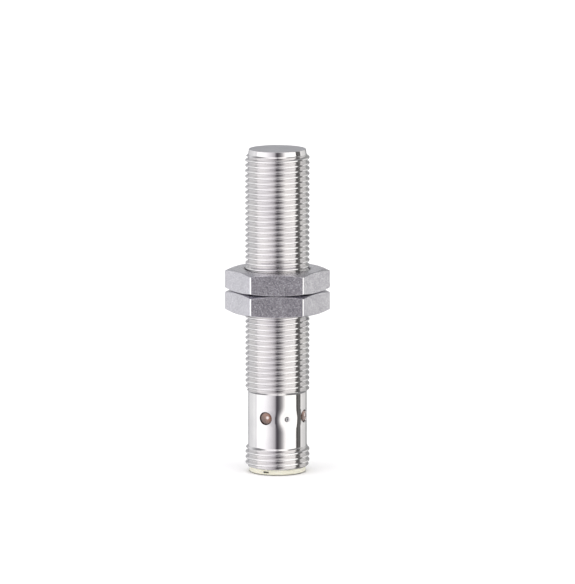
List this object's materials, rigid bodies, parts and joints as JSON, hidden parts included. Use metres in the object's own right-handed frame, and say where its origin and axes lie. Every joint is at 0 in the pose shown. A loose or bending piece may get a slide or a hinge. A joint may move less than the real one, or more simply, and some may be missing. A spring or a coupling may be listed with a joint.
{
  "type": "inductive proximity sensor",
  "caption": "Cylindrical metal inductive proximity sensor with a threaded barrel, closed sensing face, hexagon lock nuts, round indicator windows and a threaded round plug end.",
  "frame": {"origin": "centre of the contact carrier's rim, the lowest plane of the sensor", "axes": "+Z along the barrel axis from the plug to the sensing face; -Y is the side the picture shows, where two flats of the nuts face +Y and -Y"},
  "size_m": [0.0194, 0.017, 0.06],
  "materials": {
    "stainless_steel": "polished stainless steel, threads turned, matte grey end face",
    "nut_steel": "tumbled stainless steel",
    "lead_ring_steel": "plain steel",
    "cream_plastic": "moulded cream plastic",
    "seal_rubber": "black rubber",
    "amber_plastic": "clear amber-brown plastic",
    "board_laminate": "green circuit board laminate",
    "package_plastic": "black moulded package",
    "tantalum_case": "ochre moulded case",
    "ceramic": "fired ceramic",
    "solder": "bright solder",
    "copper": "copper",
    "holder_plastic": "dark moulded plastic",
    "ferrite": "sintered ferrite",
    "insulator_film": "amber insulating film",
    "potting": "cast resin",
    "gold_plating": "gold plated brass",
    "led_lens": "clear indicator lens"
  },
  "bodies": {
    "housing": {"barrel": "stainless_steel", "contact_carrier": "cream_plastic", "carrier_seal": "seal_rubber", "light_guide_ring": "amber_plastic", "led_board": "board_laminate", "circuit_board": "board_laminate", "sensor_chip": "package_plastic", "output_transistor": "package_plastic", "voltage_regulator": "package_plastic", "tantalum_capacitor": "tantalum_case", "capacitors": "ceramic", "resistors": "ceramic", "suppressor_diodes": "package_plastic", "solder_joints": "solder", "coil_terminals": "copper", "core_holder": "holder_plastic", "ferrite_core": "ferrite", "coil_bobbin": "holder_plastic", "coil_winding": "copper", "face_insulator": "insulator_film", "shield_sleeve": "copper", "potting_resin": "potting", "contact_pin_1": "gold_plating", "contact_pin_2": "gold_plating", "contact_pin_3": "gold_plating", "contact_pin_4": "gold_plating", "led_1": "led_lens", "led_2": "led_lens", "led_3": "led_lens", "led_4": "led_lens"},
    "upper_nut_travel": {"upper_nut_lead": "lead_ring_steel"},
    "upper_nut": {"upper_nut": "nut_steel"},
    "lower_nut_travel": {"lower_nut_lead": "lead_ring_steel"},
    "lower_nut": {"lower_nut": "nut_steel"}
  },
  "joints": [
    {"name": "upper_nut_advance", "type": "slide", "parent": "housing", "child": "upper_nut_travel", "axis": [0, 0, 1], "range_m": [0, 0.0205]},
    {"name": "upper_nut_turn", "type": "hinge", "parent": "upper_nut_travel", "child": "upper_nut", "pos_m": [0, 0, 0.03585], "axis": [0, 0, 1], "range_deg": [0, 7380]},
    {"name": "lower_nut_advance", "type": "slide", "parent": "housing", "child": "lower_nut_travel", "axis": [0, 0, 1], "range_m": [-0.014, 0]},
    {"name": "lower_nut_turn", "type": "hinge", "parent": "lower_nut_travel", "child": "lower_nut", "pos_m": [0, 0, 0.03185], "axis": [0, 0, 1], "range_deg": [-5040, 0]}
  ],
  "couplings": [
    {"joint": "upper_nut_advance", "follows": "upper_nut_turn", "m_per_rad": 0.00015915},
    {"joint": "lower_nut_advance", "follows": "lower_nut_turn", "m_per_rad": 0.00015915}
  ]
}
